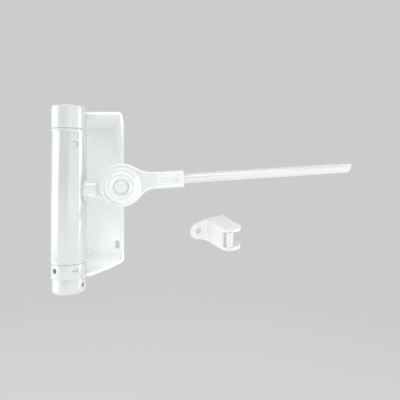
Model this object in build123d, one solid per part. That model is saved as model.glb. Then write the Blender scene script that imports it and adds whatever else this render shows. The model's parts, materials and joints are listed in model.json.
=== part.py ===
from build123d import *
from math import cos, pi, radians, sin, sqrt, tan
import os

# Spring door closer.
# A torsion spring turns an upright tube that is held in a pressed wall bracket.
# A lug on the tube carries an arm with a long rod, and a separate forked guide
# with a roller is screwed to the door and takes the rod.
# Millimetres, +Z up. The wall is the plane Y = 0, the object stands out towards -Y.
# X = 0 is the plane of the tube's axis, Z = 0 is the middle of the bracket's plate.

# Running and seating clearances
running_gap = 0.05
weld_gap = 0.06
end_gap = 0.2
key_gap = 0.15

# Wall bracket, pressed from one sheet
sheet = 2.0
plate_half_height = 61.5
plate_right = 36.5
plate_left = -24.0
flange_left = -12.0
axis_standoff = 36.5
wall_draft = 9.0
side_draft = 20.4
press_corner = 3.4
bend_outer = 3.2
side_lip = 4.5
gusset_foot_drop = 30.5
gusset_top_drop = 1.7
gusset_lean = 5.9
shelf_start_inset = 21.0
shelf_knee_inset = 6.0
shelf_knee_depth = 19.0
slot_width = 4.5
slot_length = 8.0
right_slot_inset = 5.2
left_slot_inset = 8.5
slot_end_inset = 14.0

# Spring tube and what turns in it
tube_outer_r = 14.0
tube_wall = 2.0
tube_top_drop = 12.4
tube_bottom_rise = 8.0
spindle_r = 4.0
bush_length = 5.0
anchor_length = 8.5
anchor_rivet_r = 2.7
anchor_rivet_recess = 0.9
anchor_rivet_edge = 0.3
anchor_rivet_angle = -52.0
tang_angle = 150.0

# Fixed top cap and lower collar
cap_step = 0.2
cap_height = 19.0
cap_edge = 1.4
upper_washer_height = 2.8
lower_washer_height = 1.6
seam_gap = 0.08
spindle_head_r = 6.0
spindle_head = 1.8
collar_height = 12.0
collar_hole_r = 2.3
collar_hole_drop = 5.2
collar_hole_count = 5
collar_hole_first = -49.5
lock_hole_number = 0

# Tension adjuster below the collar
adjuster_step = 0.8
adjuster_height = 12.0
adjuster_edge = 1.8
neck_r = 9.0
stem_r = 6.0
stem_flat = 4.9
lock_groove_depth = 1.8
tommy_hole_r = 1.8
tommy_hole_depth = 4.0
tommy_hole_angle = -14.0
ring_recess_r = 7.4
ring_recess_depth = 4.5
ring_thickness = 1.2
ring_outer_r = 6.4
ring_groove = 0.7

# Torsion spring
wire_r = 1.5
coil_r = 9.2
coil_turns = 12
coil_clear = 4.0
tang_depth = 5.5

# Lug on the tube and the pivot of the arm
rest_swing = 7.0
rest_tilt = 3.8
hub_reach = 42.7
hub_z = 5.6
lug_thickness = 7.0
lug_height = 15.0
lug_drop = 2.3
boss_depth = 10.0
boss_round = 4.4
boss_edge = 1.2
boss_clearance = 0.5
eye_clearance = 0.3
pivot_r = 4.0
pivot_head_r = 5.4
pivot_head = 2.2
friction_washer = 1.0
friction_washer_r = 9.5
back_washer_r = 8.0
back_washer = 1.2
tail_r = 6.4
tail_height = 2.6
tilt_limit = 10.0

# Arm: dished head, neck and socket
head_r = 18.0
head_rise = 1.8
head_skirt = 2.0
head_round = 1.5
rim_thickness = 1.7
skirt_back = 0.5
dome_foot_r = 15.1
dome_shoulder_r = 12.0
dome_height = 4.6
dome_round = 2.4
dish_r = 8.4
dish_floor_r = 5.7
dish_depth = 2.4
flank_top_angle = 61.0
flank_bottom_angle = -46.0
flank_top_fillet = 22.0
flank_bottom_fillet = 14.0
rod_rise = 3.9
socket_end = 51.5
socket_height = 14.4
socket_depth = 12.4
socket_round = 3.0
socket_chamfer = 2.2
groove_height = 6.4
groove_depth = 0.35
groove_start = 24.0
groove_end_margin = 5.5

# Rod
rod_r = 4.2
rod_start = 25.0
rod_tip = 203.0
rod_cut_angle = 21.0

# Guide for the door
guide_sheet = 2.5
guide_gap = 13.0
guide_depth = 33.0
guide_width = 16.5
guide_base_right = 19.0
guide_tip_back = 4.5
guide_tip_inset = 5.0
ear_reach = 15.0
ear_half_height = 7.0
ear_hole_r = 2.6
web_setback = 5.8
web_bend = 5.0
roller_x = 3.7
roller_setback = 3.2
roller_r = 2.9
guide_pin_r = 1.5
guide_pin_head_r = 2.5
guide_pin_head = 0.9
guide_yaw = 33.0
guide_pitch = 14.5
guide_place = (111.5, -20.9, -30.3)

# Values worked out from the ones above
tube_inner_r = tube_outer_r - tube_wall
cap_r = tube_outer_r - cap_step
adjuster_r = cap_r - adjuster_step
tube_top_z = plate_half_height - tube_top_drop
tube_bottom_z = tube_bottom_rise - plate_half_height
gusset_foot_z = plate_half_height - gusset_foot_drop
gusset_top_z = plate_half_height - gusset_top_drop
shelf_start_x = plate_right - shelf_start_inset
shelf_knee_x = plate_right - shelf_knee_inset
lip_edge_x = plate_right + side_lip * tan(radians(side_draft))
right_slot_x = plate_right - right_slot_inset
left_slot_x = plate_left + left_slot_inset
end_slot_z = plate_half_height - slot_end_inset
web_depth = guide_depth - web_setback
roller_depth = guide_depth - roller_setback
cap_bottom_z = tube_top_z + upper_washer_height + 2 * seam_gap
cap_top_z = cap_bottom_z + cap_height
collar_top_z = tube_bottom_z - lower_washer_height - 2 * seam_gap
collar_bottom_z = collar_top_z - collar_height
adjuster_top_z = collar_bottom_z - seam_gap
adjuster_bottom_z = adjuster_top_z - adjuster_height
collar_hole_z = collar_top_z - collar_hole_drop
upper_bush_z = tube_top_z - bush_length
lower_bush_z = tube_bottom_z + bush_length
upper_anchor_z = upper_bush_z - end_gap - anchor_length
lower_anchor_z = lower_bush_z + end_gap
coil_bottom_z = lower_anchor_z + anchor_length + coil_clear
coil_top_z = upper_anchor_z - coil_clear
eye_r = head_r - head_skirt - head_rise - eye_clearance
lug_front = lug_thickness / 2
head_back = lug_front + friction_washer
rim_front = head_back + rim_thickness
dome_front = rim_front + dome_height
neck_back = lug_front + skirt_back

tube_axis = Pos(0, -axis_standoff, 0)
swing_place = tube_axis * Rot(0, 0, rest_swing)
hub_place = swing_place * Pos(hub_reach, 0, hub_z)
arm_place = hub_place * Rot(0, -rest_tilt, 0)
guide_frame = Pos(*guide_place) * Rot(guide_pitch, 0, 0) * Rot(0, 0, guide_yaw)
to_front = Rot(90, 0, 0)


def turned(points):
    """Solid turned about Z from (radius, height) points."""
    outline = Polyline(*[(r, 0, z) for r, z in points], close=True)
    return revolve(make_face(outline), Axis.Z)


def ring(outer, inner, bottom, top):
    """Plain ring or washer about Z."""
    return turned([(inner, bottom), (outer, bottom), (outer, top), (inner, top)])


def radial_pin(radius, start, end, angle, height):
    """Round bar that points away from Z at one height."""
    bar = Cylinder(radius, end - start, align=(Align.CENTER, Align.CENTER, Align.MIN))
    return Pos(0, 0, height) * Rot(0, 0, angle) * Pos(start, 0, 0) * Rot(0, 90, 0) * bar


def front_shape(points):
    """Face in the plane of the wall from (x, z) points."""
    return make_face(Polyline(*[(x, 0, z) for x, z in points], close=True))


def plan_shape(points):
    """Face seen from above, from (x, depth) points, with depth counted off the wall."""
    return make_face(Polyline(*[(x, -depth, 0) for x, depth in points], close=True))


def side_shape(points):
    """Face seen from the side, from (depth, z) points, with depth counted off the wall."""
    return make_face(Polyline(*[(0, -depth, z) for depth, z in points], close=True))


def upright(face, bottom, top):
    """Block that stands on a plan shape."""
    return Pos(0, 0, bottom) * extrude(face, top - bottom, dir=(0, 0, 1))


def slot_cut(x, z):
    """Upright slotted screw hole through the plate."""
    outline = Plane.XZ * Pos(x, z) * SlotOverall(slot_length, slot_width, rotation=90)
    return extrude(outline, 3 * sheet, both=True)


def drawn_block(inset, floor, corner, bend):
    """Block with drafted walls that widens towards the front, its right wall leaning in at the top."""
    sections = []
    for depth in (floor, axis_standoff + inset):
        high = plate_half_height + depth * tan(radians(wall_draft)) - inset / cos(radians(wall_draft))
        right = plate_right + depth * tan(radians(side_draft)) - inset / cos(radians(side_draft))
        left = plate_left - axis_standoff
        lean = gusset_lean * (high - gusset_foot_z) / gusset_foot_drop
        face = front_shape([(left, -high), (right, -high), (right, gusset_foot_z), (right - lean, high), (left, high)])
        corners = face.vertices().group_by(Axis.Z)
        face = fillet(corners[0] + corners[-1], corner)
        sections.append(Pos(0, -depth, 0) * face)
    block = loft(sections, ruled=True)
    back_face = block.faces().sort_by(Axis.Y)[-1]
    return fillet(back_face.edges(), bend)


def mounting_bracket():
    """Drawn tray: back plate, full top flange, corner gusset, side lip and sloping shelf."""
    tray = drawn_block(0, 0, press_corner, bend_outer)
    tray -= drawn_block(sheet, sheet, press_corner - sheet, bend_outer - sheet)

    beyond = 4 * plate_half_height
    gusset = side_shape([
        (side_lip, 3 * sheet - plate_half_height),
        (side_lip, gusset_foot_z),
        (axis_standoff + sheet, gusset_top_z),
        (beyond, gusset_top_z),
        (beyond, 3 * sheet - plate_half_height),
    ])
    tray -= Pos(shelf_start_x, 0, 0) * extrude(gusset, beyond, dir=(1, 0, 0))

    shelf = plan_shape([
        (shelf_start_x, axis_standoff + sheet),
        (shelf_knee_x, shelf_knee_depth),
        (lip_edge_x, side_lip),
        (beyond, side_lip),
        (beyond, beyond),
        (shelf_start_x, beyond),
    ])
    tray -= upright(shelf, -beyond, 3 * sheet - plate_half_height)

    left_side = plan_shape([
        (plate_left, -sheet),
        (plate_left, sheet),
        (flange_left, axis_standoff + sheet),
        (-beyond, axis_standoff + sheet),
        (-beyond, -sheet),
    ])
    tray -= upright(left_side, -beyond, beyond)

    tray -= tube_axis * Cylinder(cap_r + weld_gap, beyond)
    for x, z in ((right_slot_x, -end_slot_z), (right_slot_x, hub_z)):
        tray -= slot_cut(x, z)
    for z in (-end_slot_z, end_slot_z):
        tray -= slot_cut(left_slot_x, z)
    return tray


def top_cap():
    """Fixed cap over the tube, with a seat for the spindle's head."""
    cap = turned([
        (spindle_r + running_gap, cap_bottom_z),
        (cap_r - cap_edge / 2, cap_bottom_z),
        (cap_r, cap_bottom_z + cap_edge / 2),
        (cap_r, cap_top_z),
        (spindle_head_r + end_gap, cap_top_z),
        (spindle_head_r + end_gap, cap_top_z - spindle_head - end_gap),
        (spindle_r + running_gap, cap_top_z - spindle_head - end_gap),
    ])
    rim = cap.edges().filter_by(GeomType.CIRCLE).group_by(Axis.Z)[-1].sort_by(SortBy.RADIUS)[-1]
    return tube_axis * fillet(rim, cap_edge)


def spindle():
    """Headed steel rod on the axis, grooved at the foot for the retaining ring."""
    head_bottom = cap_top_z - spindle_head
    groove_top = adjuster_bottom_z + ring_recess_depth - end_gap
    groove_bottom = groove_top - ring_thickness
    foot = adjuster_bottom_z + end_gap
    return tube_axis * turned([
        (0, foot),
        (spindle_r - ring_groove, foot),
        (spindle_r, foot + ring_groove),
        (spindle_r, groove_bottom),
        (spindle_r - ring_groove, groove_bottom),
        (spindle_r - ring_groove, groove_top),
        (spindle_r, groove_top),
        (spindle_r, head_bottom),
        (spindle_head_r, head_bottom),
        (spindle_head_r, cap_top_z - spindle_head / 3),
        (spindle_head_r - spindle_head / 3, cap_top_z),
        (0, cap_top_z),
    ])


def spindle_ring():
    """Open retaining ring in the spindle's groove."""
    top = adjuster_bottom_z + ring_recess_depth - end_gap
    bore = spindle_r - ring_groove + running_gap
    clip = ring(ring_outer_r, bore, top - ring_thickness + running_gap, top - running_gap)
    mouth = Box(ring_outer_r * 2, bore * 1.6, ring_thickness * 4)
    return tube_axis * (clip - Pos(ring_outer_r, 0, top) * mouth)


def upper_washer():
    """Thrust washer between the top cap and the tube."""
    low = tube_top_z + seam_gap
    return tube_axis * ring(cap_r, spindle_r + running_gap, low, low + upper_washer_height)


def lower_washer():
    """Thrust washer between the tube and the lower collar."""
    high = tube_bottom_z - seam_gap
    return tube_axis * ring(cap_r, stem_r + end_gap, high - lower_washer_height, high)


def lower_collar():
    """Fixed collar under the tube, with holes all round for the locking screw."""
    collar = turned([
        (neck_r + running_gap, collar_bottom_z),
        (cap_r, collar_bottom_z),
        (cap_r, collar_top_z - cap_edge / 2),
        (cap_r - cap_edge / 2, collar_top_z),
        (neck_r + running_gap, collar_top_z),
    ])
    for number in range(collar_hole_count):
        angle = collar_hole_first + 360 * number / collar_hole_count
        collar -= radial_pin(collar_hole_r, 0, 2 * cap_r, angle, collar_hole_z)
    return tube_axis * collar


def lock_screw():
    """Slotted grub screw in the collar's front hole, its tip in the neck's groove."""
    tip = neck_r - lock_groove_depth + end_gap
    angle = collar_hole_first + 360 * lock_hole_number / collar_hole_count
    screw = radial_pin(collar_hole_r - running_gap, tip, cap_r - end_gap, 0, 0)
    screw -= Pos(cap_r, 0, 0) * Box(2, collar_hole_r * 3, collar_hole_r / 3)
    return tube_axis * Pos(0, 0, collar_hole_z) * Rot(0, 0, angle) * screw


def spring_tube():
    """Housing of the spring, turned by it, with a hole for the rivet of the upper anchor."""
    tube = ring(tube_outer_r, tube_inner_r, tube_bottom_z, tube_top_z)
    hole_z = upper_anchor_z + anchor_length / 2
    tube -= radial_pin(anchor_rivet_r, 0, 2 * tube_outer_r, anchor_rivet_angle, hole_z)
    return swing_place * Rot(0, 0, -rest_swing) * tube


def upper_bush():
    """Bronze bush in the top of the tube, running on the spindle."""
    return tube_axis * ring(tube_inner_r - running_gap, spindle_r + running_gap, upper_bush_z, tube_top_z)


def lower_bush():
    """Bronze bush in the foot of the tube, running on the adjuster's stem."""
    return tube_axis * ring(tube_inner_r - running_gap, stem_r + running_gap, tube_bottom_z, lower_bush_z)


def tang_hole(face_z, direction):
    """Hole in an anchor that takes the straight end of the spring."""
    spot = Rot(0, 0, tang_angle) * Pos(coil_r, 0, face_z)
    depth = tang_depth + end_gap
    return spot * Pos(0, 0, direction * depth / 2) * Cylinder(wire_r + key_gap, depth)


def upper_anchor():
    """Plug riveted into the tube, which takes the spring's upper end."""
    top = upper_anchor_z + anchor_length
    plug = ring(tube_inner_r - running_gap, spindle_r + running_gap, upper_anchor_z, top)
    plug -= tang_hole(upper_anchor_z, 1)
    hole_z = upper_anchor_z + anchor_length / 2
    plug -= radial_pin(anchor_rivet_r, spindle_r + 2, tube_outer_r, anchor_rivet_angle, hole_z)
    return tube_axis * plug


def anchor_rivet():
    """Rivet through the tube's wall into the upper anchor, its end just below the surface."""
    hole_z = upper_anchor_z + anchor_length / 2
    pin = radial_pin(anchor_rivet_r - running_gap, spindle_r + 2 + end_gap, tube_outer_r - anchor_rivet_recess, 0, 0)
    outer_edge = pin.edges().filter_by(GeomType.CIRCLE).sort_by(Axis.X)[-1]
    pin = chamfer(outer_edge, anchor_rivet_edge)
    return tube_axis * Pos(0, 0, hole_z) * Rot(0, 0, anchor_rivet_angle) * pin


def lower_anchor():
    """Plug keyed on the adjuster's stem, which takes the spring's lower end."""
    top = lower_anchor_z + anchor_length
    plug = ring(tube_inner_r - end_gap, spindle_r + running_gap, lower_anchor_z, top)
    plug -= stem_bar(lower_anchor_z - 1, lower_anchor_z + anchor_length - 2, running_gap)
    plug -= tang_hole(top, -1)
    return tube_axis * plug


def stem_bar(bottom, top, gap):
    """Stem of the adjuster, flattened on one side as a key."""
    bar = Pos(0, 0, (bottom + top) / 2) * Cylinder(stem_r + gap, top - bottom)
    flat = Pos(stem_flat + gap + stem_r, 0, (bottom + top) / 2) * Box(2 * stem_r, 4 * stem_r, top - bottom)
    return bar - flat


def tension_adjuster():
    """Turned cap with a grooved neck, a keyed stem and two holes for a tommy bar."""
    floor = adjuster_bottom_z + ring_recess_depth
    body = turned([
        (0, floor),
        (ring_recess_r, floor),
        (ring_recess_r, adjuster_bottom_z),
        (adjuster_r, adjuster_bottom_z),
        (adjuster_r, adjuster_top_z),
        (neck_r, adjuster_top_z),
        (neck_r, collar_hole_z - collar_hole_r - end_gap),
        (neck_r - lock_groove_depth, collar_hole_z - collar_hole_r - end_gap),
        (neck_r - lock_groove_depth, collar_hole_z + collar_hole_r + end_gap),
        (neck_r, collar_hole_z + collar_hole_r + end_gap),
        (neck_r, collar_top_z - end_gap),
        (stem_r, collar_top_z - end_gap),
        (stem_r, lower_anchor_z),
        (0, lower_anchor_z),
    ])
    rim = body.edges().filter_by(GeomType.CIRCLE).group_by(Axis.Z)[0].sort_by(SortBy.RADIUS)[-1]
    body = fillet(rim, adjuster_edge)
    body += stem_bar(lower_anchor_z, lower_anchor_z + anchor_length - 2 - end_gap, 0)
    body -= Cylinder(spindle_r + running_gap, 4 * plate_half_height)
    for side in (0, 180):
        angle = tommy_hole_angle + side
        start = adjuster_r - tommy_hole_depth
        body -= radial_pin(tommy_hole_r, start, 2 * adjuster_r, angle, (adjuster_top_z + adjuster_bottom_z) / 2)
    return tube_axis * body


def biarc(start, start_way, end, end_way):
    """Two arcs that join two points and are tangent to a direction at each."""
    chord = end - start
    both = start_way + end_way
    a = 2 * (1 - start_way.dot(end_way))
    b = 2 * chord.dot(both)
    c = -chord.dot(chord)
    reach = (-b + sqrt(b * b - 4 * a * c)) / (2 * a)
    near = start + start_way * reach
    far = end - end_way * reach
    middle = (near + far) * 0.5
    return [
        TangentArc(start, middle, tangent=start_way),
        TangentArc(middle, end, tangent=(far - near).normalized()),
    ]


def coil_point(turn):
    """Point and direction on the spring's helix after a number of turns."""
    angle = radians(tang_angle) - 2 * pi * turn
    pitch = (coil_top_z - coil_bottom_z) / coil_turns
    spot = Vector(coil_r * cos(angle), coil_r * sin(angle), coil_bottom_z + pitch * turn)
    way = Vector(sin(angle), -cos(angle), pitch / (2 * pi * coil_r)).normalized()
    return spot, way


def torsion_spring():
    """Open wound spring, left-hand so that opening the arm closes its turns, with straight tangs."""
    up = Vector(0, 0, 1)
    lead = 0.12
    first, first_way = coil_point(lead)
    last, last_way = coil_point(coil_turns - lead)
    low_spot = Vector(coil_point(0)[0].X, coil_point(0)[0].Y, lower_anchor_z + anchor_length)
    high_spot = Vector(coil_point(coil_turns)[0].X, coil_point(coil_turns)[0].Y, upper_anchor_z)
    path = [Line(low_spot - up * tang_depth, low_spot)]
    path += biarc(low_spot, up, first, first_way)
    marks = [lead + (coil_turns - 2 * lead) * step / (2 * coil_turns) for step in range(2 * coil_turns + 1)]
    for here, there in zip(marks, marks[1:]):
        spot, way = coil_point(here)
        next_spot, next_way = coil_point(there)
        path += biarc(spot, way, next_spot, next_way)
    path += biarc(last, last_way, high_spot, up)
    path.append(Line(high_spot, high_spot + up * tang_depth))
    wire = Wire([piece.edge() for piece in path])
    section = Plane(origin=wire @ 0, z_dir=wire % 0) * Circle(wire_r)
    print("spring: least gap between turns", round(coil_gap(), 2), "mm")
    return tube_axis * sweep(section, path=wire)


def coil_gap():
    """Least distance between the surfaces of neighbouring turns, measured on points."""
    steps = 48
    spot = coil_point(1)[0]
    others = [coil_point(1.5 + step / steps)[0] for step in range(steps + 1)]
    return min((spot - other).length for other in others) - 2 * wire_r


def arm_lug():
    """Forged lug welded to the tube: thick rounded root, flat shank and round eye for the arm's pivot."""
    shank_face = front_shape([
        (0, hub_z - lug_drop - lug_height / 2 - 1),
        (tube_outer_r + 3, hub_z - lug_drop - lug_height / 2),
        (hub_reach, hub_z - lug_drop - lug_height / 2),
        (hub_reach, hub_z - lug_drop + lug_height / 2),
        (tube_outer_r + 3, hub_z - lug_drop + lug_height / 2),
        (0, hub_z - lug_drop + lug_height / 2 + 1),
    ])
    shank = extrude(shank_face, lug_thickness / 2, both=True)
    long_edges = shank.edges().filter_by(Axis.X)
    shank = fillet(long_edges, lug_thickness / 4)
    eye = Pos(hub_reach, 0, hub_z) * to_front * Cylinder(eye_r, lug_thickness)
    boss_length = hub_reach - head_r - head_rise - boss_clearance
    boss = extrude(Plane.YZ * RectangleRounded(boss_depth, lug_height, boss_round), boss_length)
    boss = fillet(boss.faces().sort_by(Axis.X)[-1].edges(), boss_edge)
    lug = shank + eye + Pos(0, 0, hub_z - lug_drop) * boss
    lug -= Cylinder(tube_outer_r + weld_gap, 4 * eye_r)
    lug -= Pos(hub_reach, 0, hub_z) * to_front * Cylinder(pivot_r + running_gap, 2 * lug_thickness)
    return swing_place * lug


def pivot_rivet():
    """Headed pin of the arm, closed over behind the lug."""
    dish_floor = dome_front - dish_depth
    seat = dish_floor + running_gap
    tail = -lug_front - back_washer
    pin = turned([
        (0, tail - tail_height),
        (tail_r * 0.55, tail - tail_height),
        (tail_r * 0.9, tail - tail_height * 0.6),
        (tail_r, tail),
        (pivot_r, tail),
        (pivot_r, seat),
        (pivot_head_r, seat),
        (pivot_head_r, seat + pivot_head * 0.35),
        (pivot_head_r * 0.72, seat + pivot_head * 0.85),
        (pivot_head_r * 0.35, seat + pivot_head),
        (0, seat + pivot_head),
    ])
    return hub_place * to_front * pin


def friction_ring():
    """Washer squeezed between the lug's eye and the arm's head."""
    return hub_place * to_front * ring(friction_washer_r, pivot_r + running_gap, lug_front, head_back)


def pivot_back_washer():
    """Washer behind the lug, under the closed end of the pivot."""
    return hub_place * to_front * ring(back_washer_r, pivot_r + running_gap, -lug_front - back_washer, -lug_front)


def arm_outline():
    """Front outline of the head and neck: the head sits a little above the pivot, the neck higher still."""
    neck_top = rod_rise + socket_height / 2
    neck_bottom = rod_rise - socket_height / 2
    top = radians(flank_top_angle)
    low = radians(flank_bottom_angle)
    top_x, top_z = head_r * cos(top), head_rise + head_r * sin(top)
    low_x, low_z = head_r * cos(low), head_rise + head_r * sin(low)
    top_corner = top_x + (top_z - neck_top) * tan(top)
    low_corner = low_x + (neck_bottom - low_z) * tan(-low)
    neck_end = max(top_corner, low_corner) + flank_top_fillet / 2
    outline = Polyline(
        (0, head_rise), (top_x, top_z), (top_corner, neck_top), (neck_end, neck_top),
        (neck_end, neck_bottom), (low_corner, neck_bottom), (low_x, low_z), close=True,
    )
    neck = make_face(outline)
    upper = neck.vertices().sort_by_distance((top_corner, neck_top))[0]
    neck = fillet(upper, flank_top_fillet)
    lower = neck.vertices().sort_by_distance((low_corner, neck_bottom))[0]
    neck = fillet(lower, flank_bottom_fillet)
    return Pos(0, head_rise) * Circle(head_r) + neck


def swing_arm():
    """Arm in one piece: dished head over the lug's eye, neck and socket for the rod."""
    plate = Pos(0, neck_back, 0) * extrude(Plane.XZ * arm_outline(), rim_front + neck_back)
    front_face = plate.faces().sort_by(Axis.Y)[0]
    plate = fillet(front_face.edges(), head_round)
    plate -= Pos(0, 0, head_rise) * to_front * Pos(0, 0, (head_back - 2 * neck_back) / 2) * Cylinder(
        head_r - head_skirt, head_back + 2 * neck_back)

    dome = turned([
        (0, head_back),
        (dome_foot_r - 1, head_back),
        (dome_foot_r, rim_front),
        (dome_shoulder_r, dome_front),
        (0, dome_front),
    ])
    shoulder = dome.edges().filter_by(GeomType.CIRCLE).group_by(Axis.Z)[-1]
    dome = fillet(shoulder, dome_round)
    dish = turned([
        (0, dome_front - dish_depth),
        (dish_floor_r, dome_front - dish_depth),
        (dish_r, dome_front),
        (dish_r, dome_front + 1),
        (0, dome_front + 1),
    ])
    dome = to_front * (dome - dish)

    socket_length = socket_end - head_r
    section = Plane.YZ * RectangleRounded(socket_depth, socket_height, socket_round)
    socket = Pos(head_r, 0, rod_rise) * extrude(section, socket_length)
    for end_face in (socket.faces().sort_by(Axis.X)[-1], socket.faces().sort_by(Axis.X)[0]):
        socket = chamfer(end_face.edges(), socket_chamfer)
    groove_length = socket_end - groove_end_margin - groove_start
    groove = Pos(groove_start + groove_length / 2, rod_rise) * SlotOverall(groove_length, groove_height)
    for side in (1, -1):
        cut = extrude(Plane.XZ * groove, 2 * groove_depth, both=True)
        socket -= Pos(0, side * (socket_depth / 2 + groove_depth), 0) * cut

    arm = plate + dome + socket
    arm -= to_front * Cylinder(pivot_r + running_gap, 4 * dome_front)
    bore = Cylinder(rod_r + running_gap, rod_tip, align=(Align.CENTER, Align.CENTER, Align.MIN))
    arm -= Pos(rod_start - end_gap, 0, rod_rise) * Rot(0, 90, 0) * bore
    arm -= lug_window()
    return arm_place * arm


def lug_window():
    """Gap in the head's skirt where the lug comes in, wide enough for the arm's tilt."""
    limit = radians(tilt_limit + 1)
    below = lug_height / 2 + lug_drop + head_r * sin(limit) + end_gap
    above = lug_height / 2 - lug_drop + head_r * sin(limit) + end_gap
    depth = head_back + neck_back
    window = Box(head_r, depth + 2, above + below)
    return Pos(-head_r + 2, (depth + 2) / 2 - head_back, (above - below) / 2) * window


def slide_rod():
    """Drawn rod seated in the socket, its free end cut on the slant."""
    rod = Cylinder(rod_r, rod_tip - rod_start, align=(Align.CENTER, Align.CENTER, Align.MIN))
    rod = Pos(rod_start, 0, 0) * Rot(0, 90, 0) * rod
    wedge = Pos(rod_tip, 0, rod_r) * Rot(0, rod_cut_angle, 0) * Box(
        10 * rod_r, 4 * rod_r, 10 * rod_r, align=(Align.MIN, Align.CENTER, Align.CENTER))
    return arm_place * Pos(0, 0, rod_rise) * (rod - wedge)


def guide_jaw():
    """Plan outline of one jaw of the guide, with its slanted nose."""
    face = plan_shape([
        (-guide_sheet / 2, 0),
        (guide_base_right, 0),
        (guide_base_right, guide_sheet),
        (guide_width, guide_depth * 0.35),
        (guide_width, guide_depth - guide_tip_back),
        (guide_width - guide_tip_inset, guide_depth),
        (guide_tip_inset, guide_depth),
        (-guide_sheet / 2, guide_depth - guide_tip_back),
    ])
    corners = face.vertices().sort_by(Axis.Y)[:4]
    return fillet(corners, 2.5)


def guide_bracket():
    """Guide for the door: ear with a screw hole, web and two jaws."""
    half = guide_gap / 2 + guide_sheet
    blank = front_shape([
        (-ear_reach + ear_half_height, -ear_half_height),
        (-guide_sheet / 2, -half),
        (guide_base_right, -half),
        (guide_base_right, half),
        (-guide_sheet / 2, half),
        (-ear_reach + ear_half_height, ear_half_height),
    ])
    base = extrude(blank, guide_sheet, dir=(0, -1, 0))
    ear_centre = Pos(-ear_reach + ear_half_height, 0, 0)
    base += ear_centre * Pos(0, -guide_sheet / 2, 0) * to_front * Cylinder(ear_half_height, guide_sheet)
    web = Pos(0, -web_depth / 2, 0) * Box(guide_sheet, web_depth, 2 * half)
    body = base + web
    corner = body.edges().filter_by(Axis.Z).sort_by_distance((-guide_sheet / 2, -guide_sheet, 0))[0]
    body = fillet(corner, web_bend)
    for side in (1, -1):
        jaw = upright(guide_jaw(), -guide_sheet / 2, guide_sheet / 2)
        body += Pos(0, 0, side * (half - guide_sheet / 2)) * jaw
    body -= ear_centre * to_front * Cylinder(ear_hole_r, 4 * guide_sheet)
    body -= Pos(roller_x, -roller_depth, 0) * Cylinder(guide_pin_r + running_gap, 4 * half)
    return guide_frame * body


def guide_pin():
    """Pin across the jaws, headed at both ends."""
    half = guide_gap / 2 + guide_sheet
    pin = turned([
        (0, -half - guide_pin_head),
        (guide_pin_head_r * 0.7, -half - guide_pin_head),
        (guide_pin_head_r, -half),
        (guide_pin_r, -half),
        (guide_pin_r, half),
        (guide_pin_head_r, half),
        (guide_pin_head_r * 0.7, half + guide_pin_head),
        (0, half + guide_pin_head),
    ])
    return guide_frame * Pos(roller_x, -roller_depth, 0) * pin


def guide_roller():
    """Roller on the pin, which the rod slides along."""
    half = guide_gap / 2 - end_gap
    sleeve = ring(roller_r, guide_pin_r + running_gap, -half, half)
    ends = sleeve.edges().filter_by(GeomType.CIRCLE).sort_by(SortBy.RADIUS)[-2:]
    sleeve = chamfer(ends, 0.4)
    return guide_frame * Pos(roller_x, -roller_depth, 0) * sleeve


pieces = {
    "mounting_bracket": mounting_bracket,
    "top_cap": top_cap,
    "spindle": spindle,
    "spindle_ring": spindle_ring,
    "upper_washer": upper_washer,
    "lower_washer": lower_washer,
    "lower_collar": lower_collar,
    "lock_screw": lock_screw,
    "spring_tube": spring_tube,
    "upper_bush": upper_bush,
    "lower_bush": lower_bush,
    "upper_anchor": upper_anchor,
    "anchor_rivet": anchor_rivet,
    "lower_anchor": lower_anchor,
    "tension_adjuster": tension_adjuster,
    "torsion_spring": torsion_spring,
    "arm_lug": arm_lug,
    "pivot_rivet": pivot_rivet,
    "friction_ring": friction_ring,
    "pivot_back_washer": pivot_back_washer,
    "swing_arm": swing_arm,
    "slide_rod": slide_rod,
    "guide_bracket": guide_bracket,
    "guide_pin": guide_pin,
    "guide_roller": guide_roller,
}

os.makedirs("parts", exist_ok=True)
for name, make in pieces.items():
    export_step(make(), "parts/" + name + ".step")
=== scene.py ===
import json
from math import copysign, cos, pi, radians, sin, sqrt, tan

import bmesh
import bpy
from mathutils import Matrix, Vector, noise

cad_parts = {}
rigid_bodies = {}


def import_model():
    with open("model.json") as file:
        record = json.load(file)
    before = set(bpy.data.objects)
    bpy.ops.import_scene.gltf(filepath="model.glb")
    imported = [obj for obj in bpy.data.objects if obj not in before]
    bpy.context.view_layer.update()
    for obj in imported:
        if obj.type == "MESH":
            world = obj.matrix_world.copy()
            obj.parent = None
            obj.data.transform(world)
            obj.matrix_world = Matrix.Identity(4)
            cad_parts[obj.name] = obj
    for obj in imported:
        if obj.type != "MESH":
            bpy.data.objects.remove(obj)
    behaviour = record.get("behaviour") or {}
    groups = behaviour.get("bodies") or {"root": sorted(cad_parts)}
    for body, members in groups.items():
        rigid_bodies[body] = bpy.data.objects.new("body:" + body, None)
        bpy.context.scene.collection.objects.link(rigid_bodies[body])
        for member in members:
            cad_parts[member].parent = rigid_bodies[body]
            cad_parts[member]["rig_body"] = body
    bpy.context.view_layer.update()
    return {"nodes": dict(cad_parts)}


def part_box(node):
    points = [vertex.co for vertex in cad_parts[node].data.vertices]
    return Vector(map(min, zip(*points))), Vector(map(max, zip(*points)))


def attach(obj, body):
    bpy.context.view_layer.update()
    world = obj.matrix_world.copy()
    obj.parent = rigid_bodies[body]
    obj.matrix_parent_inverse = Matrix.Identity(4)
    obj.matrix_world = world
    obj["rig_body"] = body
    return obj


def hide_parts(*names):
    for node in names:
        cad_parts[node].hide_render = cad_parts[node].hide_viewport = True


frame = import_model()

bl_info = {
    "name": "Spring Door Closer",
    "version": (1, 0, 0),
    "blender": (4, 5, 0),
    "location": "View3D > Sidebar > Door Closer",
    "description": "Finishes the plated pieces of a spring door closer and sets up its studio",
    "category": "Object",
}

# How the arm and the rod stand: raised with the rod and swung towards the wall.
ARM_TURN = (0, radians(-3.8), radians(7))

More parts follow.
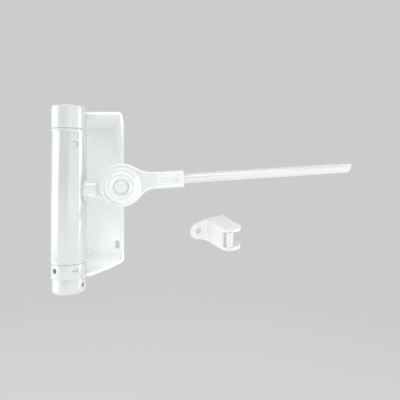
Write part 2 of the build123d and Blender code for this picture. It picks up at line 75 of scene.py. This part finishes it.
# What is joined and made one flat face in a copy of a CAD node, and which edges count as sharp.
JOIN_DISTANCE = 0.000002
FLAT_ANGLE = radians(0.3)
SHARP_ANGLE = radians(28)

# Lumps of a weld bead: how fine they are, and their height as a share of half its thickness.
LUMP_SCALE = 900.0
LUMP_HEIGHT = 0.5

# How far the lug's root is from a rectangle: 1 is an ellipse, 0 has sharp corners.
ROOT_ROUNDNESS = 0.5

# Depth of the metal grain's bump, in metres.
GRAIN_DEPTH = 0.0004

# Studio: strength of the even light; the floor's own colour, size and place, how far out it
# runs into the backdrop, and how much of the backdrop it starts with; and the camera.
SKY_STRENGTH = 0.95
PALE_FLOOR = (0.9, 0.9, 0.9)
FLOOR_RADIUS = 12.0
FLOOR_PLACE = (0.05, 0.0, -0.30)
FLOOR_FADE = (0.3, 0.8)
FLOOR_GLOW = 0.55
CAMERA_PLACE = (0.1073, -0.3215, 0.00905)
CAMERA_LENS = 31.3
CAMERA_SENSOR = 36.0
CAMERA_SHIFT = -0.0425
CAMERA_NEAR = 0.01


class CloserSizes(bpy.types.PropertyGroup):
    """Sizes of the finishing that the wall bracket, the tube, the arm and the guide get."""

    sheet_edge: bpy.props.FloatProperty(
        name="Sheet edge", description="Rounding of the pressed sheet's cut edges",
        default=0.00035, unit="LENGTH")
    turned_edge: bpy.props.FloatProperty(
        name="Turned edge", description="Rounding of the turned pieces' edges",
        default=0.0003, unit="LENGTH")
    seam_edge: bpy.props.FloatProperty(
        name="Seam edge", description="Rounding along the seams between cap, tube and collar",
        default=0.00012, unit="LENGTH")
    weld: bpy.props.FloatProperty(
        name="Weld", description="Half the thickness of the weld beads",
        default=0.0009, unit="LENGTH")
    arm_grain: bpy.props.FloatProperty(
        name="Arm grain", description="Fineness of the skin over the pressed arm",
        default=0.00045, unit="LENGTH")
    arm_passes: bpy.props.IntProperty(
        name="Arm rounding", description="Rounds of smoothing that the pressed arm gets",
        default=4)


class CloserColours(bpy.types.PropertyGroup):
    """Colours of the closer's finishes and of the studio."""

    sheet: bpy.props.FloatVectorProperty(
        name="Plated sheet", description="Zinc plate on the pressed sheet",
        subtype="COLOR", size=3, default=(0.92, 0.945, 0.935))
    # Painted shade: the turned pieces' zinc plate is darker than the sheet's, standing in for the
    # darker reflections on their round sides.
    turned: bpy.props.FloatVectorProperty(
        name="Turned pieces", description="Zinc plate on the cap, collar and adjuster",
        subtype="COLOR", size=3, default=(0.64, 0.665, 0.655))
    # Painted shade: the tube's zinc plate is darker than the sheet's, standing in for the darker
    # reflections down the middle of the round tube.
    tube: bpy.props.FloatVectorProperty(
        name="Spring tube", description="Zinc plate on the drawn tube",
        subtype="COLOR", size=3, default=(0.64, 0.67, 0.655))
    arm: bpy.props.FloatVectorProperty(
        name="Pressed arm", description="Zinc plate on the arm and its lug",
        subtype="COLOR", size=3, default=(0.80, 0.825, 0.815))
    guide: bpy.props.FloatVectorProperty(
        name="Door guide", description="Zinc plate on the forked guide",
        subtype="COLOR", size=3, default=(0.77, 0.785, 0.78))
    pins: bpy.props.FloatVectorProperty(
        name="Pins and roller", description="Bright plate on the pivot, the roller and its pin",
        subtype="COLOR", size=3, default=(0.73, 0.745, 0.74))
    rod: bpy.props.FloatVectorProperty(
        name="Rod", description="Bright drawn steel of the rod",
        subtype="COLOR", size=3, default=(0.75, 0.75, 0.75))
    spring: bpy.props.FloatVectorProperty(
        name="Spring wire", description="Oiled wire of the spring and the retaining ring",
        subtype="COLOR", size=3, default=(0.2, 0.2, 0.21))
    bronze: bpy.props.FloatVectorProperty(
        name="Bronze", description="Sintered bronze of the bushes and the friction ring",
        subtype="COLOR", size=3, default=(0.62, 0.45, 0.25))
    backdrop: bpy.props.FloatVectorProperty(
        name="Backdrop", description="Plain grey behind and below the closer",
        subtype="COLOR", size=3, default=(0.604, 0.604, 0.604))


def sizes():
    return bpy.context.scene.closer_sizes


def colours():
    return bpy.context.scene.closer_colours


def merged_copy(node, name):
    """Copy of a CAD node with its loose triangles joined and each flat face whole."""
    shape = bmesh.new()
    shape.from_mesh(frame["nodes"][node].data)
    bmesh.ops.remove_doubles(shape, verts=shape.verts, dist=JOIN_DISTANCE)
    bmesh.ops.dissolve_limit(
        shape, angle_limit=FLAT_ANGLE, use_dissolve_boundaries=False,
        verts=shape.verts, edges=shape.edges)
    mesh = bpy.data.meshes.new(name)
    shape.to_mesh(mesh)
    shape.free()
    piece = bpy.data.objects.new(name, mesh)
    bpy.context.scene.collection.objects.link(piece)
    return piece


def round_edges(piece, width):
    """Rounds a piece's sharp edges and keeps its flats flat."""
    bevel = piece.modifiers.new("Rounded edges", "BEVEL")
    bevel.width = width
    bevel.segments = 3
    bevel.limit_method = "ANGLE"
    bevel.angle_limit = SHARP_ANGLE
    bevel.harden_normals = True
    bevel.use_clamp_overlap = True


def skin_over(piece, grain, passes):
    """Runs one skin over a piece, so that its forms flow into each other as on a pressing."""
    remesh = piece.modifiers.new("Skin", "REMESH")
    remesh.mode = "VOXEL"
    remesh.voxel_size = grain
    remesh.use_smooth_shade = True
    relax = piece.modifiers.new("Flow", "SMOOTH")
    relax.factor = 0.5
    relax.iterations = passes


def place(piece, node, material):
    """Puts a finished piece in a CAD node's stead, on the same body."""
    piece.data.shade_smooth()
    piece.data.materials.clear()
    piece.data.materials.append(material)
    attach(piece, frame["nodes"][node]["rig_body"])
    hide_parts(node)


def finish(node, name, width, material):
    """Puts a copy with rounded edges in a CAD node's stead."""
    piece = merged_copy(node, name)
    round_edges(piece, width)
    place(piece, node, material)


def paint(node, material):
    """Gives a carried-over CAD node its material."""
    mesh = frame["nodes"][node].data
    mesh.materials.clear()
    mesh.materials.append(material)


def new_group(name, inputs, outputs):
    """Empty shader node group with named sockets."""
    group = bpy.data.node_groups.new(name, "ShaderNodeTree")
    for label, kind, value in inputs:
        socket = group.interface.new_socket(name=label, in_out="INPUT", socket_type=kind)
        if value is not None:
            socket.default_value = value
    for label, kind in outputs:
        group.interface.new_socket(name=label, in_out="OUTPUT", socket_type=kind)
    return group, group.nodes.new("NodeGroupInput"), group.nodes.new("NodeGroupOutput")


def clouding_group():
    """Soft cloudy change of colour and gloss, as on zinc plate."""
    if "Zinc clouding" in bpy.data.node_groups:
        return bpy.data.node_groups["Zinc clouding"]
    group, source, out = new_group(
        "Zinc clouding",
        [("Vector", "NodeSocketVector", None),
         ("Light", "NodeSocketColor", (0.8, 0.8, 0.8, 1)),
         ("Deep", "NodeSocketColor", (0.7, 0.7, 0.7, 1)),
         ("Cloud Scale", "NodeSocketFloat", 60.0),
         ("Smooth", "NodeSocketFloat", 0.25),
         ("Matt", "NodeSocketFloat", 0.4)],
        [("Color", "NodeSocketColor"), ("Roughness", "NodeSocketFloat")])
    link = group.links.new
    clouds = group.nodes.new("ShaderNodeTexNoise")
    clouds.inputs["Detail"].default_value = 1.0
    clouds.inputs["Roughness"].default_value = 0.4
    link(source.outputs["Vector"], clouds.inputs["Vector"])
    link(source.outputs["Cloud Scale"], clouds.inputs["Scale"])
    spread = group.nodes.new("ShaderNodeMapRange")
    spread.inputs["From Min"].default_value = 0.2
    spread.inputs["From Max"].default_value = 0.8
    link(clouds.outputs["Fac"], spread.inputs["Value"])
    tone = group.nodes.new("ShaderNodeMix")
    tone.data_type = "RGBA"
    link(spread.outputs["Result"], tone.inputs["Factor"])
    link(source.outputs["Light"], tone.inputs["A"])
    link(source.outputs["Deep"], tone.inputs["B"])
    link(tone.outputs["Result"], out.inputs["Color"])
    gloss = group.nodes.new("ShaderNodeMapRange")
    link(clouds.outputs["Fac"], gloss.inputs["Value"])
    link(source.outputs["Smooth"], gloss.inputs["To Min"])
    link(source.outputs["Matt"], gloss.inputs["To Max"])
    link(gloss.outputs["Result"], out.inputs["Roughness"])
    return group


def grain_group():
    """Fine lines of drawing, rolling or turning, as a height."""
    if "Metal grain" in bpy.data.node_groups:
        return bpy.data.node_groups["Metal grain"]
    group, source, out = new_group(
        "Metal grain",
        [("Vector", "NodeSocketVector", None), ("Line Scale", "NodeSocketFloat", 300.0)],
        [("Height", "NodeSocketFloat")])
    link = group.links.new
    lines = group.nodes.new("ShaderNodeTexNoise")
    lines.inputs["Detail"].default_value = 3.0
    lines.inputs["Roughness"].default_value = 0.7
    link(source.outputs["Vector"], lines.inputs["Vector"])
    link(source.outputs["Line Scale"], lines.inputs["Scale"])
    link(lines.outputs["Fac"], out.inputs["Height"])
    return group


def plated(name, colour, gloss=(0.22, 0.3), metallic=0.3, grain_size=(1, 1, 1),
           grain_turn=(0, 0, 0), grain_scale=900.0, grain_height=0.005,
           cloud_scale=40.0, deepen=0.985):
    """Plated, bright or bronze metal on Object coordinates, clouded, its grain on its own axes."""
    if name in bpy.data.materials:
        return bpy.data.materials[name]
    material = bpy.data.materials.new(name)
    material.use_nodes = True
    nodes, link = material.node_tree.nodes, material.node_tree.links.new
    shader = nodes["Principled BSDF"]
    shader.inputs["Metallic"].default_value = metallic
    shader.inputs["IOR"].default_value = 1.5
    where = nodes.new("ShaderNodeTexCoord")
    clouds = nodes.new("ShaderNodeGroup")
    clouds.node_tree = clouding_group()
    clouds.inputs["Light"].default_value = (*colour, 1)
    clouds.inputs["Deep"].default_value = (*[c * deepen for c in colour], 1)
    clouds.inputs["Cloud Scale"].default_value = cloud_scale
    clouds.inputs["Smooth"].default_value = gloss[0]
    clouds.inputs["Matt"].default_value = gloss[1]
    link(where.outputs["Object"], clouds.inputs["Vector"])
    link(clouds.outputs["Color"], shader.inputs["Base Color"])
    link(clouds.outputs["Roughness"], shader.inputs["Roughness"])
    stretch = nodes.new("ShaderNodeMapping")
    stretch.vector_type = "TEXTURE"
    stretch.inputs["Rotation"].default_value = grain_turn
    stretch.inputs["Scale"].default_value = grain_size
    link(where.outputs["Object"], stretch.inputs["Vector"])
    grain = nodes.new("ShaderNodeGroup")
    grain.node_tree = grain_group()
    grain.inputs["Line Scale"].default_value = grain_scale
    link(stretch.outputs["Vector"], grain.inputs["Vector"])
    bump = nodes.new("ShaderNodeBump")
    bump.inputs["Strength"].default_value = grain_height
    bump.inputs["Distance"].default_value = GRAIN_DEPTH
    link(grain.outputs["Height"], bump.inputs["Height"])
    link(bump.outputs["Normal"], shader.inputs["Normal"])
    return material


def sheet_finish():
    return plated("Plated sheet", colours().sheet, gloss=(0.26, 0.26), metallic=0.15,
                  grain_size=(1, 1, 5))


def guide_finish():
    return plated("Plated guide", colours().guide, metallic=0.2,
                  grain_scale=500.0, grain_height=0.003)


# Painted shade: this plate colour is darkened to stand in for the darker reflections on the round
# cap, collar and adjuster.
def turned_finish_with_painted_shade():
    return plated("Plated turned steel with painted shade", colours().turned, grain_size=(10, 10, 0.5))


# Painted shade: this plate colour is darkened to stand in for the darker reflections down the
# middle of the round tube.
def tube_finish_with_painted_shade():
    return plated("Plated tube with painted shade", colours().tube, gloss=(0.15, 0.22), metallic=0.4,
                  grain_size=(0.5, 0.5, 10))


def arm_finish():
    return plated("Plated arm", colours().arm, gloss=(0.14, 0.24), metallic=0.35, cloud_scale=90.0)


def rod_finish():
    return plated("Bright rod", colours().rod, gloss=(0.18, 0.28), metallic=0.3, grain_scale=450.0,
                  grain_size=(40, 1, 1), grain_turn=ARM_TURN, grain_height=0.007)


def pin_finish():
    return plated("Bright pins", colours().pins, metallic=0.2)


def spring_finish():
    return plated("Oiled spring wire", colours().spring, gloss=(0.3, 0.45), metallic=0.9)


def bronze_finish():
    return plated("Sintered bronze", colours().bronze, gloss=(0.35, 0.5), metallic=0.9)


class CLOSER_OT_wall_bracket(bpy.types.Operator):
    """Finish the drawn wall bracket"""
    bl_idname = "closer.wall_bracket"
    bl_label = "Wall Bracket"

    def execute(self, context):
        finish("mounting_bracket", "wall_bracket_sheet", sizes().sheet_edge,
               sheet_finish())
        return {"FINISHED"}


def square_end(mesh):
    """Spreads a pin's chamfered end to its full thickness, so that it fills its hole."""
    middle = sum((vert.co for vert in mesh.vertices), Vector()) / len(mesh.vertices)
    low, high = min(v.co.z for v in mesh.vertices), max(v.co.z for v in mesh.vertices)
    radius = (high - low) / 2
    tube_low, tube_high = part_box("spring_tube")
    axis = Vector([(a + b) / 2 for a, b in zip(tube_low, tube_high)])
    along = Vector((middle.x - axis.x, middle.y - axis.y, 0)).normalized()
    for vert in mesh.vertices:
        arm = vert.co - middle
        run = along * arm.dot(along)
        across = arm - run
        if across.length > radius / 2:
            vert.co = middle + run + across.normalized() * radius


class CLOSER_OT_spring_tube(bpy.types.Operator):
    """Finish the spring tube and the end of its rivet"""
    bl_idname = "closer.spring_tube"
    bl_label = "Spring Tube"

    def execute(self, context):
        finish("spring_tube", "drawn_tube", sizes().seam_edge, tube_finish_with_painted_shade())
        rivet = merged_copy("anchor_rivet", "tube_rivet")
        square_end(rivet.data)
        round_edges(rivet, sizes().seam_edge)
        place(rivet, "anchor_rivet", turned_finish_with_painted_shade())
        return {"FINISHED"}


class CLOSER_OT_turned_caps(bpy.types.Operator):
    """Finish the top cap, the collar, the tension adjuster and the washers between them"""
    bl_idname = "closer.turned_caps"
    bl_label = "Cap, Collar and Adjuster"

    def execute(self, context):
        seam, edge = sizes().seam_edge, sizes().turned_edge
        for node, name, width in (("top_cap", "cap_turned", seam),
                                  ("lower_collar", "collar_turned", seam),
                                  ("tension_adjuster", "adjuster_turned", edge),
                                  ("spindle", "spindle_turned", edge),
                                  ("lock_screw", "grub_screw", edge)):
            finish(node, name, width, turned_finish_with_painted_shade())
        for node in ("upper_washer", "lower_washer"):
            paint(node, turned_finish_with_painted_shade())
        return {"FINISHED"}


class CLOSER_OT_inner_works(bpy.types.Operator):
    """Give the pieces inside the tube their finishes"""
    bl_idname = "closer.inner_works"
    bl_label = "Inner Works"

    def execute(self, context):
        for node in ("upper_anchor", "lower_anchor"):
            paint(node, turned_finish_with_painted_shade())
        for node in ("upper_bush", "lower_bush", "friction_ring"):
            paint(node, bronze_finish())
        for node in ("torsion_spring", "spindle_ring"):
            paint(node, spring_finish())
        return {"FINISHED"}


class CLOSER_OT_swing_arm(bpy.types.Operator):
    """Finish the pressed arm, its lug and its pivot"""
    bl_idname = "closer.swing_arm"
    bl_label = "Arm, Lug and Pivot"

    def execute(self, context):
        arm = merged_copy("swing_arm", "pressed_arm")
        skin_over(arm, sizes().arm_grain, sizes().arm_passes)
        place(arm, "swing_arm", arm_finish())
        finish("arm_lug", "forged_lug", sizes().turned_edge, arm_finish())
        for node, name in (("pivot_rivet", "arm_pivot"), ("pivot_back_washer", "pivot_washer")):
            finish(node, name, sizes().turned_edge, pin_finish())
        return {"FINISHED"}


def weld_run(name, points, thick, closed):
    """Lumpy weld bead along a run of points."""
    line = bpy.data.curves.new(name, "CURVE")
    line.dimensions = "3D"
    line.bevel_depth = thick
    line.bevel_resolution = 3
    line.use_fill_caps = True
    run = line.splines.new("POLY")
    run.points.add(len(points) - 1)
    for knot, point in zip(run.points, points):
        knot.co = (*point, 1)
    run.use_cyclic_u = closed
    carrier = bpy.data.objects.new(name, line)
    bpy.context.scene.collection.objects.link(carrier)
    carrier = carrier.evaluated_get(bpy.context.evaluated_depsgraph_get())
    mesh = bpy.data.meshes.new_from_object(carrier)
    bpy.data.objects.remove(carrier.original)
    for vert in mesh.vertices:
        vert.co += vert.normal * noise.noise(vert.co * LUMP_SCALE) * thick * LUMP_HEIGHT
    mesh.shade_smooth()
    piece = bpy.data.objects.new(name, mesh)
    bpy.context.scene.collection.objects.link(piece)
    return piece


def lug_weld_path(radius):
    """Run round the lug's root on the tube's surface, in the tube's own frame."""
    root_depth, root_height, middle = 0.0102, 0.0152, 0.0033
    steps = 96
    points = []
    for step in range(steps):
        turn = 2 * pi * step / steps
        across = copysign(abs(cos(turn)) ** ROOT_ROUNDNESS, cos(turn)) * root_depth / 2
        up = copysign(abs(sin(turn)) ** ROOT_ROUNDNESS, sin(turn)) * root_height / 2
        points.append(Vector((sqrt(radius ** 2 - across ** 2), across, middle + up)))
    return points


def collar_weld_path(radius, axis_depth):
    """Run along the notch of the bottom flange, where its upper face meets the collar."""
    plate_z, draft, first, last = -0.05948, radians(9), radians(-28), radians(75)
    steps = 28
    points = []
    for step in range(steps + 1):
        turn = first + (last - first) * step / steps
        across = radius * sin(turn)
        height = plate_z - (axis_depth - across) * tan(draft)
        points.append(Vector((radius * cos(turn), across, height)))
    return points


class CLOSER_OT_weld_beads(bpy.types.Operator):
    """Add the weld between lug and tube and the one between collar and flange"""
    bl_idname = "closer.weld_beads"
    bl_label = "Weld Beads"

    def execute(self, context):
        low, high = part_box("spring_tube")
        radius = (high[0] - low[0]) / 2
        depth = -(low[1] + high[1]) / 2
        axis = Matrix.Translation((0, -depth, 0))
        lug = weld_run("lug_weld", lug_weld_path(radius), sizes().weld, True)
        lug.data.transform(axis @ Matrix.Rotation(ARM_TURN[2], 4, "Z"))
        collar = weld_run("collar_weld", collar_weld_path(radius, depth), sizes().weld, False)
        collar.data.transform(axis)
        for piece, body in ((lug, "spring_barrel"), (collar, "bracket")):
            piece.data.materials.append(arm_finish())
            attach(piece, body)
        return {"FINISHED"}


class CLOSER_OT_slide_rod(bpy.types.Operator):
    """Finish the rod"""
    bl_idname = "closer.slide_rod"
    bl_label = "Slide Rod"

    def execute(self, context):
        finish("slide_rod", "drawn_rod", sizes().seam_edge, rod_finish())
        return {"FINISHED"}


class CLOSER_OT_door_guide(bpy.types.Operator):
    """Finish the forked guide, its pin and its roller"""
    bl_idname = "closer.door_guide"
    bl_label = "Door Guide"

    def execute(self, context):
        finish("guide_bracket", "forked_guide", sizes().sheet_edge, guide_finish())
        for node, name in (("guide_pin", "roller_pin"), ("guide_roller", "steel_roller")):
            finish(node, name, sizes().turned_edge / 2, pin_finish())
        return {"FINISHED"}


def softbox(name, at, aim, wide, high, watts):
    """Large soft lamp that faces a point."""
    lamp = bpy.data.lights.new(name, "AREA")
    lamp.shape = "RECTANGLE"
    lamp.size = wide
    lamp.size_y = high
    lamp.energy = watts
    stand = bpy.data.objects.new(name, lamp)
    stand.location = at
    stand.rotation_euler = (Vector(aim) - Vector(at)).to_track_quat("-Z", "Y").to_euler()
    bpy.context.scene.collection.objects.link(stand)


def backdrop_world(colour):
    """Plain world: even light, and the backdrop's grey for the eye and for reflections."""
    world = bpy.data.worlds.new("Studio")
    bpy.context.scene.world = world
    world.use_nodes = True
    nodes, link = world.node_tree.nodes, world.node_tree.links.new
    nodes.clear()
    out = nodes.new("ShaderNodeOutputWorld")
    seen = nodes.new("ShaderNodeBackground")
    seen.inputs["Color"].default_value = (*colour, 1)
    light = nodes.new("ShaderNodeBackground")
    light.inputs["Color"].default_value = (1, 1, 1, 1)
    light.inputs["Strength"].default_value = SKY_STRENGTH
    mix = nodes.new("ShaderNodeMixShader")
    rays = nodes.new("ShaderNodeLightPath")
    glossy = nodes.new("ShaderNodeMath")
    glossy.operation = "MAXIMUM"
    clear = nodes.new("ShaderNodeMath")
    clear.operation = "MAXIMUM"
    link(rays.outputs["Is Camera Ray"], glossy.inputs[0])
    link(rays.outputs["Is Glossy Ray"], glossy.inputs[1])
    link(glossy.outputs["Value"], clear.inputs[0])
    link(rays.outputs["Is Transmission Ray"], clear.inputs[1])
    link(clear.outputs["Value"], mix.inputs["Fac"])
    link(light.outputs["Background"], mix.inputs[1])
    link(seen.outputs["Background"], mix.inputs[2])
    link(mix.outputs["Shader"], out.inputs["Surface"])


def floor_finish(colour):
    """Pale floor that keeps shadows near the closer and runs into the backdrop's grey."""
    material = bpy.data.materials.new("Studio floor")
    material.use_nodes = True
    nodes, link = material.node_tree.nodes, material.node_tree.links.new
    nodes.clear()
    out = nodes.new("ShaderNodeOutputMaterial")
    matt = nodes.new("ShaderNodeBsdfDiffuse")
    tone = nodes.new("ShaderNodeMix")
    tone.data_type = "RGBA"
    tone.inputs["A"].default_value = (*PALE_FLOOR, 1)
    tone.inputs["B"].default_value = (*[c / SKY_STRENGTH for c in colour], 1)
    glow = nodes.new("ShaderNodeEmission")
    glow.inputs["Color"].default_value = (*colour, 1)
    where = nodes.new("ShaderNodeTexCoord")
    reach = nodes.new("ShaderNodeVectorMath")
    reach.operation = "LENGTH"
    link(where.outputs["Object"], reach.inputs[0])
    fade = nodes.new("ShaderNodeMapRange")
    fade.inputs["From Min"].default_value = FLOOR_FADE[0]
    fade.inputs["From Max"].default_value = FLOOR_FADE[1]
    fade.inputs["To Min"].default_value = FLOOR_GLOW
    link(reach.outputs["Value"], fade.inputs["Value"])
    rays = nodes.new("ShaderNodeLightPath")
    link(rays.outputs["Is Camera Ray"], tone.inputs["Factor"])
    link(tone.outputs["Result"], matt.inputs["Color"])
    eye = nodes.new("ShaderNodeMath")
    eye.operation = "MULTIPLY"
    link(rays.outputs["Is Camera Ray"], eye.inputs[0])
    link(fade.outputs["Result"], eye.inputs[1])
    mix = nodes.new("ShaderNodeMixShader")
    link(eye.outputs["Value"], mix.inputs["Fac"])
    link(matt.outputs["BSDF"], mix.inputs[1])
    link(glow.outputs["Emission"], mix.inputs[2])
    link(mix.outputs["Shader"], out.inputs["Surface"])
    return material


class CLOSER_OT_studio(bpy.types.Operator):
    """Set up the floor, the soft lamps and the camera"""
    bl_idname = "closer.studio"
    bl_label = "Studio"

    def execute(self, context):
        scene = context.scene
        scene.view_settings.view_transform = "Standard"
        backdrop_world(colours().backdrop)

        shape = bmesh.new()
        bmesh.ops.create_circle(shape, cap_ends=True, radius=FLOOR_RADIUS, segments=64)
        bmesh.ops.translate(shape, verts=shape.verts, vec=FLOOR_PLACE)
        mesh = bpy.data.meshes.new("studio_floor")
        shape.to_mesh(mesh)
        shape.free()
        mesh.materials.append(floor_finish(colours().backdrop))
        floor = bpy.data.objects.new("studio_floor", mesh)
        scene.collection.objects.link(floor)

        middle = (0.09, -0.03, 0.0)
        softbox("Left softbox", (-0.68, -0.16, 0.06), (0.0, -0.04, 0.0), 0.8, 0.7, 2.1)
        softbox("Front softbox", (0.16, -0.80, 0.80), middle, 1.3, 0.55, 3.0)
        softbox("Right softbox", (0.85, -0.75, 0.10), (0.03, -0.02, 0.0), 1.6, 0.75, 1.5)
        softbox("Rim strip", (0.80, 0.02, 0.15), middle, 0.20, 0.85, 1.2)

        camera_data = bpy.data.cameras.new("Camera")
        camera_data.sensor_width = CAMERA_SENSOR
        camera_data.lens = CAMERA_LENS
        camera_data.shift_y = CAMERA_SHIFT
        camera_data.clip_start = CAMERA_NEAR
        camera = bpy.data.objects.new("Camera", camera_data)
        camera.location = CAMERA_PLACE
        camera.rotation_euler = (pi / 2, 0, 0)
        scene.collection.objects.link(camera)
        scene.camera = camera
        return {"FINISHED"}


class CLOSER_PT_panel(bpy.types.Panel):
    """Sizes, colours and steps of the door closer"""
    bl_idname = "CLOSER_PT_panel"
    bl_label = "Door Closer"
    bl_space_type = "VIEW_3D"
    bl_region_type = "UI"
    bl_category = "Door Closer"

    def draw(self, context):
        layout = self.layout
        for group in (context.scene.closer_sizes, context.scene.closer_colours):
            column = layout.column()
            for field in group.__annotations__:
                column.prop(group, field)
        for step in STEPS:
            layout.operator(step.bl_idname)


STEPS = (
    CLOSER_OT_wall_bracket,
    CLOSER_OT_spring_tube,
    CLOSER_OT_turned_caps,
    CLOSER_OT_inner_works,
    CLOSER_OT_swing_arm,
    CLOSER_OT_weld_beads,
    CLOSER_OT_slide_rod,
    CLOSER_OT_door_guide,
    CLOSER_OT_studio,
)
CLASSES = (CloserSizes, CloserColours) + STEPS + (CLOSER_PT_panel,)


def register():
    for item in CLASSES:
        bpy.utils.register_class(item)
    bpy.types.Scene.closer_sizes = bpy.props.PointerProperty(type=CloserSizes)
    bpy.types.Scene.closer_colours = bpy.props.PointerProperty(type=CloserColours)


def unregister():
    del bpy.types.Scene.closer_colours
    del bpy.types.Scene.closer_sizes
    for item in reversed(CLASSES):
        bpy.utils.unregister_class(item)


def main():
    register()
    bpy.ops.closer.wall_bracket()
    bpy.ops.closer.spring_tube()
    bpy.ops.closer.turned_caps()
    bpy.ops.closer.inner_works()
    bpy.ops.closer.swing_arm()
    bpy.ops.closer.weld_beads()
    bpy.ops.closer.slide_rod()
    bpy.ops.closer.door_guide()
    bpy.ops.closer.studio()


if __name__ == "__main__":
    main()
